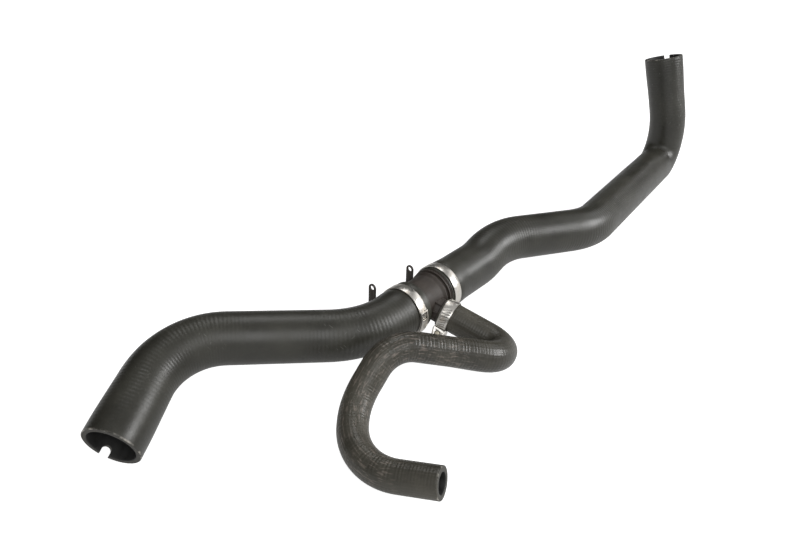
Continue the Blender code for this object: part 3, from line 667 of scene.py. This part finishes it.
def laid(bm, matrix):
    """Writes the map of turns and metres in the local frame, then moves the mesh to its place."""
    uv = bm.loops.layers.uv.get("turns_and_metres") or bm.loops.layers.uv.new("turns_and_metres")
    for face in bm.faces:
        turns = [math.atan2(loop.vert.co.z, loop.vert.co.y) / math.tau for loop in face.loops]
        wrap = max(turns) - min(turns) > 0.5
        for loop, value in zip(face.loops, turns):
            loop[uv].uv = (value + 1.0 if wrap and value < 0 else value, loop.vert.co.x)
    bmesh.ops.transform(bm, verts=bm.verts, matrix=matrix)
    return bm


def gather(*meshes):
    """One mesh of several."""
    whole = bmesh.new()
    for bm in meshes:
        data = bpy.data.meshes.new("part")
        bm.to_mesh(data)
        bm.free()
        whole.from_mesh(data)
        bpy.data.meshes.remove(data)
    return whole


# %% [markdown]
# Moulded nylon keeps the fine texture of its steel mould. Glass fibres near the surface break the
# shine into a slight mottle, and flow lines run round from the gate.


# %% Nylon
def moulded_nylon(name, colour, pale):
    """Nylon with a mottle about 11 mm wide, and with flow lines that follow the turned shape."""
    mat, tree, out = blank(name)
    place = add(tree, "TexCoord").outputs["Object"]
    mottle = add(tree, "TexNoise", {"Scale": 90.0, "Detail": 6.0, "Roughness": 0.7}, place)
    fibres = add(tree, "TexNoise", {"Scale": 1500.0, "Detail": 2.0}, place)
    map_of = add(tree, "UVMap", {"uv_map": "turns_and_metres"})
    drawn = add(tree, "Mapping", {"Scale": (5.0, 260.0, 1.0)}, map_of)
    flow = add(tree, "TexNoise", {"Scale": 1.0, "Detail": 2.0}, drawn)
    tone = add(tree, "Math", PLUS, add(tree, "Math", TIMES, mottle, 0.6),
               add(tree, "Math", TIMES, flow, 0.4))
    paint = add(tree, "Mix", COLOURS, add(tree, "MapRange", None, tone, 0.36, 0.64), colour, pale)
    rough = add(tree, "MapRange", None, mottle, 0.3, 0.7, 0.52, 0.68)
    wave = add(tree, "Bump", {"Strength": 1.0, "Distance": 0.00025}, Height=tone)
    skin = add(tree, "Bump", {"Strength": 1.0, "Distance": 0.00002}, Height=fibres, Normal=wave)
    body = add(tree, "BsdfPrincipled", {"IOR": 1.53}, Base_Color=paint, Roughness=rough,
               Normal=skin)
    tree.links.new(body.outputs[0], out.inputs["Surface"])
    return mat

tee_plastic = moulded_nylon("glass-filled nylon, moulded", "#28211c", "#352d26")

# %% [markdown]
# The tee's body, from the hidden front spigot to the hidden rear one: a plain barrel, a shoulder, a
# groove, and a split collar that stops the rear hose. The bore runs right through.

# %% The tee's body
# Each corner has its place along the run, its radius, and how much it is rounded.
FRONT_SPIGOT, REAR_SPIGOT, RUN_BORE = -0.0362, 0.0445, 0.0136
BODY = [
    (FRONT_SPIGOT, RUN_BORE, 0.0003), (FRONT_SPIGOT, 0.0160, 0.0008),
    (FRONT_STOP, 0.0162, 0.0), (FRONT_STOP, 0.0184, 0.0009),
    (0.0098, 0.0184, 0.0025), (0.0122, 0.0200, 0.0006),
    (0.0132, 0.0200, 0.0004), (0.0135, 0.0187, 0.0003),
    (0.0158, 0.0187, 0.0003), (0.0158, 0.0208, 0.0004),
    (0.0174, 0.0208, 0.0003), (0.0175, 0.0199, 0.0001),
    (0.0181, 0.0199, 0.0001), (0.0182, 0.0208, 0.0003),
    (REAR_STOP, 0.0208, 0.0003), (REAR_STOP, 0.0162, 0.0),
    (REAR_SPIGOT, 0.0160, 0.0008), (REAR_SPIGOT, RUN_BORE, 0.0003),
]
barrel = spun(rounded(BODY), 96)
print("barrel:", len(barrel.faces), "faces")

# %% [markdown]
# The branch leaves the barrel as a short boss with eight ribs that keep it from cracking, then goes
# on inside the thin hose as a small spigot.

# %% The branch boss
BOSS_CORE, BOSS_RIB, RIB_WIDTH, RIBS, BOSS_FROM = 0.0098, 0.0112, 0.0018, 8, 0.0120
SPIGOT_FROM, SPIGOT_TO, SPIGOT_BORE, SPIGOT_RADIUS = 0.0140, 0.0490, 0.0052, 0.0076


def boss_outline(core, rib, width, ribs, ease=0.02):
    """A round core with ribs along it, as one closed outline. Each rib's foot is a little eased."""
    points = []
    foot, top = math.asin(width / 2 / core), math.asin(width / 2 / rib)
    rest = math.tau / ribs - 2 * foot - 2 * ease
    for i in range(ribs):
        middle = math.tau * (i + 0.5) / ribs
        points += [polar(core, middle - foot - ease), polar(rib, middle - top * 0.8)]
        points += [polar(rib, middle + top * 0.8), polar(core, middle + foot + ease)]
        points += [polar(core, middle + foot + ease + rest * k / 4) for k in (1, 2, 3)]
    return points


ribbed = boss_outline(BOSS_CORE, BOSS_RIB, RIB_WIDTH, RIBS)
boss = soften(prism(ribbed, BOSS_FROM, BRANCH_STOP - FIT), 0.0003, 50)
spigot = spun(rounded([(SPIGOT_FROM, SPIGOT_BORE, 0.0), (SPIGOT_FROM, SPIGOT_RADIUS, 0.0),
                       (SPIGOT_TO, SPIGOT_RADIUS, 0.0008), (SPIGOT_TO, SPIGOT_BORE, 0.0)]), 48)
print("boss:", len(boss.faces), "faces")

# %% [markdown]
# Behind the barrel two thin eyes stand on a bar, and a screw through each holds the hose to the fan
# cowl. Each eye is an outline with a round top, drawn out by the thickness of its plate. The hole
# is cut with a Boolean, and then the edges are rounded like every moulded edge.

# %% The bracket
BAR_TOP, BAR_BACK, BAR_THICKNESS, BAR_DEPTH = -0.016, 0.0270, 0.0038, 0.0092
BAR_FROM, BAR_TO, WEB_FROM, WEB_TO = -0.0281, 0.0237, -0.008, 0.016
EYE_WIDTH, EYE_HOLE, EYE_THICKNESS, EYE_LEAN = 0.0074, 0.0043, 0.0016, math.radians(14)
EYES_MIDDLE, EYES_APART, FRONT_RISE, REAR_RISE = -0.0022, 0.0505, 0.0223, 0.0188
eye_up = Vector((math.sin(EYE_LEAN), math.cos(EYE_LEAN)))
eye_side = Vector((eye_up.y, -eye_up.x)) * EYE_WIDTH / 2
foot = Vector((BAR_BACK, BAR_TOP - BAR_THICKNESS / 2))


def eye_plate(x, rise):
    """One eye across the run at x, with its hole this far above the bar's middle."""
    hole = foot + eye_up * rise
    arch = [hole + eye_side * math.cos(a) + eye_up * EYE_WIDTH / 2 * math.sin(a)
            for a in (math.radians(9 * k) for k in range(21))]
    outline = [foot + eye_side] + arch + [foot - eye_side]
    plate = prism(outline, x - EYE_THICKNESS / 2, x + EYE_THICKNESS / 2)
    blank_eye = piece("eye_plate", plate, tee_plastic)
    ring = [hole + polar(EYE_HOLE / 2, math.tau * k / 32) for k in range(32)]
    carve(blank_eye, prism(ring, x - 0.003, x + 0.003))
    settle(blank_eye)
    bm = mesh_from(blank_eye)
    bmesh.ops.recalc_face_normals(bm, faces=bm.faces)
    return soften(bm, 0.0002, 60)


low, high = BAR_TOP - BAR_THICKNESS, BAR_TOP
near_edge, far_edge = BAR_BACK - BAR_DEPTH / 2, BAR_BACK + BAR_DEPTH / 2
bar_outline = [(near_edge, high), (near_edge, low), (far_edge, low), (far_edge, high)]
web_outline = [(0.011, -0.0095), (0.009, -0.0152), (0.0295, -0.0194), (0.0295, -0.0164)]
bar = soften(prism(bar_outline, BAR_FROM, BAR_TO), 0.0005)
web = soften(prism(web_outline, WEB_FROM, WEB_TO), 0.0005)
eyes = [eye_plate(EYES_MIDDLE - EYES_APART / 2, FRONT_RISE),
        eye_plate(EYES_MIDDLE + EYES_APART / 2, REAR_RISE)]
along_run = laid(gather(barrel, bar, web, *eyes), TEE_FRAME)
along_branch = laid(gather(boss, spigot), BRANCH_FRAME)
tee = piece("tee_moulding", gather(along_run, along_branch), tee_plastic)
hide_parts("tee_connector")
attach(tee, "hose_assembly")
print("tee:", len(tee.data.polygons), "faces")

# %% [markdown]
# The two clamps on the run are made from one strip of stainless steel each. The strip is rolled,
# lapped over itself, hooked through a small window, and drawn tight by pinching an ear on its far
# side. Rolling leaves fine lines along the strip, and handling leaves faint brown tarnish.


# %% Clamp steel
def rolled_steel(name, colour, tarnish, dull, lines):
    """Bright strip with rolling lines along it, 0.3 mm apart and coarser than the real ones."""
    mat, tree, out = blank(name)
    place = add(tree, "TexCoord").outputs["Object"]
    map_of = add(tree, "UVMap", {"uv_map": "turns_and_metres"})
    lined = add(tree, "Mapping", {"Scale": (7.0, 3300.0, 1.0)}, map_of)
    streak = add(tree, "TexNoise", {"Scale": 1.0, "Detail": 2.0}, lined)
    stain = add(tree, "TexNoise", {"Scale": 120.0, "Detail": 4.0, "Roughness": 0.6}, place)
    stained = add(tree, "MapRange", None, stain, 0.50, 0.74, 0.0, 0.55)
    base = add(tree, "Mix", COLOURS, stained, colour, tarnish)
    # Painted shade: the corners, found by ambient occlusion, are painted dark brown.
    corner = add(tree, "AmbientOcclusion", {"Distance": 0.0012, "samples": 4}).outputs["AO"]
    painted_corner_shade = add(tree, "MapRange", None, corner, 0.25, 0.75, 0.7, 0.0)
    base = add(tree, "Mix", COLOURS, painted_corner_shade, base, "#3a342c")
    shine = add(tree, "Math", PLUS,
                add(tree, "MapRange", None, stain, 0.3, 0.7, dull - 0.05, dull + 0.08),
                add(tree, "MapRange", None, streak, 0.35, 0.65, -0.04, 0.05))
    if lines:
        grooves = add(tree, "Bump", {"Strength": 1.0, "Distance": 0.000008}, Height=streak)
        pits = add(tree, "Bump", {"Strength": 1.0, "Distance": 0.00008}, Height=stain,
                   Normal=grooves)
    else:
        pits = add(tree, "Bump", {"Strength": 1.0, "Distance": 0.0001}, Height=stain)
    body = add(tree, "BsdfPrincipled", {"Metallic": 1.0}, Base_Color=base, Roughness=shine,
               Normal=pits)
    tree.links.new(body.outputs[0], out.inputs["Surface"])
    return mat

clamp_steel = rolled_steel("stainless steel strip, rolled", "#cfccc6", "#a08c76",
                           dull=0.34, lines=True)
screw_steel = rolled_steel("mild steel, zinc plated", "#b8b2a2", "#8a7a60",
                           dull=0.36, lines=False)


# %% [markdown]
# A clamp is bent from flat strip. Its middle line is laid out in the plane of the band and drawn out
# to the width of the strip, and a Solidify modifier gives it its thickness. A Bevel then rounds the
# edges, as deburring does on the real strip.


# %% Bending a strip
def arc(radius, first, last, step=math.radians(3)):
    count = max(1, math.ceil(abs(last - first) / step))
    return [polar(radius, first + (last - first) * i / count) for i in range(count + 1)]


def bent_strip(name, line, start, width, thickness, steel):
    """A strip of steel about a bent line: a ribbon, given its thickness, then its rounded edges."""
    bm = bmesh.new()
    verts = [bm.verts.new((start, y, z)) for y, z in line]
    edges = [bm.edges.new(pair) for pair in zip(verts, verts[1:])]
    draw_out(bm, bmesh.ops.extrude_edge_only(bm, edges=edges)["geom"], width)
    strip = piece(name, bm, steel)
    body = strip.modifiers.new("Thickness", "SOLIDIFY")
    body.thickness = thickness
    body.offset = 0.0
    body.use_even_offset = True
    return strip


def finish_strip(strip, place, edge):
    """Rounds the cut edges of a strip, writes its map and moves it to its place on the hose."""
    bevel = strip.modifiers.new("Deburred edges", "BEVEL")
    bevel.width = edge
    bevel.segments = 2
    bevel.limit_method = "ANGLE"
    bevel.angle_limit = math.radians(50)
    settle(strip)
    bm = bmesh.new()
    bm.from_mesh(strip.data)
    laid(bm, place)
    bm.to_mesh(strip.data)
    bm.free()
    shade(strip.data)
    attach(strip, "hose_assembly")
    print(strip.name, len(strip.data.polygons), "faces")


# %% [markdown]
# The line of an ear clamp starts at the outer end of the lap, steps down on the hose, stands out in
# the ear and runs on under the lap. A small hook stands in the window near the outer end.

# %% The two ear clamps
BAND_WIDTH, BAND_THICKNESS, LAP_GAP, LAP = 0.0083, 0.0009, 0.0003, math.radians(70)
EAR_HEIGHT, EAR_WIDTH, EAR_CROWN = 0.0062, 0.0064, 0.0020
WINDOW, WINDOW_FROM_END, CUTTER_CLEAR = 0.0062, 0.0014, 0.002
HOOK_BACK, HOOK_LENGTH, HOOK_PLAY = 0.0008, 0.0022, 0.0009


def ear_clamp_line(lap, ear):
    """The strip's middle line: the outer lap, the ear, then round again under the lap."""
    inner = MAIN_OD / 2 + FIT + BAND_THICKNESS / 2
    outer = inner + BAND_THICKNESS + LAP_GAP
    half_ear = math.asin((EAR_WIDTH / 2) / inner)
    points = arc(outer, lap, lap + LAP) + arc(inner, lap + LAP + math.radians(12), ear - half_ear)
    radial = polar(1, ear)
    across = Vector((-radial.y, radial.x)) * EAR_WIDTH / 2
    for turn in range(0, 181, 20):
        bend = math.radians(turn)
        rise = inner + EAR_HEIGHT - EAR_CROWN + EAR_CROWN * math.sin(bend)
        points.append(radial * rise - across * math.cos(bend))
    return points + arc(inner, ear + half_ear, lap + math.tau + LAP - math.radians(10))


def ear_clamp(name, node, at, lap, ear):
    """The band with its window, and the hook that stands in the window."""
    line = ear_clamp_line(lap, ear)
    strip = bent_strip(name, line, at - BAND_WIDTH / 2, BAND_WIDTH, BAND_THICKNESS, clamp_steel)
    under = MAIN_OD / 2 + FIT + BAND_THICKNESS
    over = under + LAP_GAP + BAND_THICKNESS
    first = lap + WINDOW_FROM_END / over
    last = first + WINDOW / over
    hole = [polar(under + LAP_GAP / 2, first), polar(over + CUTTER_CLEAR, first)]
    hole += [polar(over + CUTTER_CLEAR, last), polar(under + LAP_GAP / 2, last)]
    carve(strip, prism(hole, at - WINDOW / 2, at + WINDOW / 2))
    finish_strip(strip, TEE_FRAME, 0.00012)
    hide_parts(node)
    first += HOOK_BACK / over
    last = first + HOOK_LENGTH / over
    tab = [polar(under - 0.0003, first), polar(over - 0.0001, first)]
    tab += [polar(over - 0.0005, last), polar(under - 0.0003, last)]
    half_tab = WINDOW / 2 - HOOK_PLAY
    hook = soften(prism(tab, at - half_tab, at + half_tab), 0.00015)
    hook = piece(name + "_hook", laid(hook, TEE_FRAME), clamp_steel)
    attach(hook, "hose_assembly")


ear_clamp("front_band", "front_clamp", FRONT_CLAMP_AT, math.radians(145), math.radians(265))
ear_clamp("rear_band", "rear_clamp", REAR_CLAMP_AT, math.radians(212), math.radians(315))

# %% [markdown]
# The thin hose has a worm-drive clamp. Slanted slots are punched through the tail of its strip, and
# the thread of a screw in the housing engages them like a worm in a rack. Turning the screw draws
# the tail along and closes the band. The last 9 mm of the tail are left plain.

# %% The worm-drive band
CLAMP_AT, STRIP_WIDTH, STRIP_THICKNESS, STRIP_GAP = 0.0285, 0.0090, 0.0007, 0.0003
HOUSING_ANGLE, TAIL_END = math.radians(225), math.radians(86)
PLAIN_TAIL, SLOT_PITCH, SLOT_LENGTH, SLOT_WIDTH = 0.0092, 0.0024, 0.0062, 0.0010
SLOT_SLANT = math.radians(20)
inner_turn = BRANCH_ROOT_OD / 2 + FIT + STRIP_THICKNESS / 2
outer_turn = inner_turn + STRIP_THICKNESS + STRIP_GAP
crossing = HOUSING_ANGLE - math.tau + math.radians(33)
line = arc(inner_turn, HOUSING_ANGLE - math.radians(20), crossing)
line += arc(outer_turn, crossing - math.radians(15), TAIL_END - math.tau)
worm_band = bent_strip("branch_band", line, CLAMP_AT - STRIP_WIDTH / 2, STRIP_WIDTH,
                       STRIP_THICKNESS, clamp_steel)
slots = bmesh.new()
slotted = (HOUSING_ANGLE - math.radians(30) - TAIL_END) * outer_turn - PLAIN_TAIL
count = int(slotted / SLOT_PITCH) + 1
for i in range(count):
    turn_to = Matrix.Rotation(TAIL_END + (PLAIN_TAIL + i * SLOT_PITCH) / outer_turn, 4, "X")
    lean = Matrix.Rotation(SLOT_SLANT, 4, "Y")
    lean.translation = (CLAMP_AT, outer_turn + 0.0002, 0)
    size = Matrix.Diagonal((SLOT_LENGTH, STRIP_THICKNESS + 0.0001, SLOT_WIDTH, 1))
    bmesh.ops.create_cube(slots, size=1.0, matrix=turn_to @ lean @ size)
carve(worm_band, slots)
finish_strip(worm_band, BRANCH_FRAME, 0.0001)
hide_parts("branch_clamp_band")
print("slots:", count)

# %% [markdown]
# The housing is pressed from the same steel, folded over the strip and arched over the screw, with
# an end wall each side that the screw's necks turn in.

# %% The housing and its screw
SCREW_RADIUS, ROOT_RADIUS, NECK_RADIUS, PITCH, PLAY = 0.0035, 0.0027, 0.0022, 0.0024, 0.0003
HOUSING_WALL, HOUSING_LENGTH, END_WALL, THREAD_PLAY = 0.0008, 0.0120, 0.0012, 0.0004
outward = BRANCH_FRAME.to_3x3() @ Vector((0, *polar(1, HOUSING_ANGLE)))
height = outer_turn + STRIP_THICKNESS / 2 + PLAY + SCREW_RADIUS
screw_place = TEE + BRANCH * CLAMP_AT + outward * height
SCREW_FRAME = frame_at(screw_place, BRANCH.cross(outward), outward)
strap_top = -(SCREW_RADIUS + PLAY) + 0.0003
bottom = strap_top - STRIP_THICKNESS - 0.0014
shoulder = strap_top + 0.0012
half = STRIP_WIDTH / 2 + FIT + HOUSING_WALL
arch_radius = SCREW_RADIUS + THREAD_PLAY + HOUSING_WALL
arch = [polar(arch_radius, math.radians(a)) for a in range(20, 161, 7)]
outline = [Vector((half, bottom)), Vector((half, shoulder))] + arch
outline += [Vector((-half, shoulder)), Vector((-half, bottom))]
pressed = prism(outline, -HOUSING_LENGTH / 2, HOUSING_LENGTH / 2)
cover = piece("branch_housing", pressed, clamp_steel)
inside = HOUSING_LENGTH / 2 - END_WALL
for length, radius in ((inside, SCREW_RADIUS + THREAD_PLAY), (0.010, NECK_RADIUS + PLAY)):
    ring = [polar(radius, math.tau * (k + 0.5) / 40) for k in range(40)]
    carve(cover, prism(ring, -length, length))
# The way of the strip through the housing is a turned ring about the branch.
way_bottom, way_top, way_half = 0.0117, outer_turn + 0.00065, STRIP_WIDTH / 2 + FIT
gate = spun([(CLAMP_AT - way_half, way_bottom), (CLAMP_AT - way_half, way_top),
             (CLAMP_AT + way_half, way_top), (CLAMP_AT + way_half, way_bottom)], 72)
bmesh.ops.transform(gate, verts=gate.verts, matrix=SCREW_FRAME.inverted() @ BRANCH_FRAME)
carve(cover, gate)
finish_strip(cover, SCREW_FRAME, 0.00025)
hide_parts("branch_clamp_housing")

# %% [markdown]
# The screw's thread is a stack of rings whose radius follows one helix. Its head is a slotted
# hexagon, which takes a small spanner or a screwdriver.

# %% The worm screw
HEAD_HALF_WIDTH, HEAD_HEIGHT, HEAD_SLOT_WIDTH, HEAD_SLOT_FLOOR = 0.0035, 0.0042, 0.0012, 0.0028
NECK_OUT = 0.0010


def worm(start, end, sides=32, rings_per_turn=14):
    """The thread: circles along X whose points move out where the helix passes them."""
    bm = bmesh.new()
    count = math.ceil((end - start) / PITCH * rings_per_turn)
    loops = []
    for i in range(count + 1):
        x = start + (end - start) * i / count
        place = Matrix.Translation((x, 0, 0)) @ Matrix.Rotation(math.pi / 2, 4, "Y")
        verts = bmesh.ops.create_circle(bm, cap_ends=i in (0, count), segments=sides,
                                        radius=ROOT_RADIUS, matrix=place)["verts"]
        for vert in verts:
            turn_part = math.atan2(vert.co.z, vert.co.y) / math.tau % 1.0
            phase = (x / PITCH - turn_part) % 1.0
            crest = smooth_step(1.6 - abs(phase - 0.5) * 5)
            grow = (ROOT_RADIUS + (SCREW_RADIUS - ROOT_RADIUS) * crest) / ROOT_RADIUS
            vert.co.y *= grow
            vert.co.z *= grow
        loops.append([bm.edges.get((verts[k], verts[(k + 1) % sides])) for k in range(sides)])
    for near, far in zip(loops, loops[1:]):
        bmesh.ops.bridge_loops(bm, edges=near + far)
    bmesh.ops.recalc_face_normals(bm, faces=bm.faces)
    return bm


end = HOUSING_LENGTH / 2 + PLAY
necks = spun(rounded([(-end, 0.0, 0), (-end, NECK_RADIUS, 0.0004),
                      (end + NECK_OUT, NECK_RADIUS, 0.0), (end + NECK_OUT, 0.0, 0)]), 40)
corner = HEAD_HALF_WIDTH / math.cos(math.radians(30))
hexagon = [polar(corner, math.radians(60 * k + 30)) for k in range(6)]
head = piece("screw_head", prism(hexagon, end, end + HEAD_HEIGHT), screw_steel)
chamfer = spun([(end + 0.0030, 0.0062), (end + 0.0030, 0.00425),
                (end + 0.0044, 0.0030), (end + 0.0044, 0.0062)], 48)
carve(head, chamfer)
half_slot = HEAD_SLOT_WIDTH / 2
slot = [(-0.006, -half_slot), (-0.006, half_slot), (0.006, half_slot), (0.006, -half_slot)]
carve(head, prism(slot, end + HEAD_SLOT_FLOOR, end + HEAD_SLOT_FLOOR + 0.004))
settle(head)
head_mesh = soften(mesh_from(head), 0.00012, 50)
turning = laid(gather(worm(-inside + PLAY, inside - PLAY), necks, head_mesh), SCREW_FRAME)
worm_screw = piece("worm_screw", turning, screw_steel)
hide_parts("branch_clamp_screw")
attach(worm_screw, "worm_screw")
print("screw:", len(worm_screw.data.polygons), "faces")
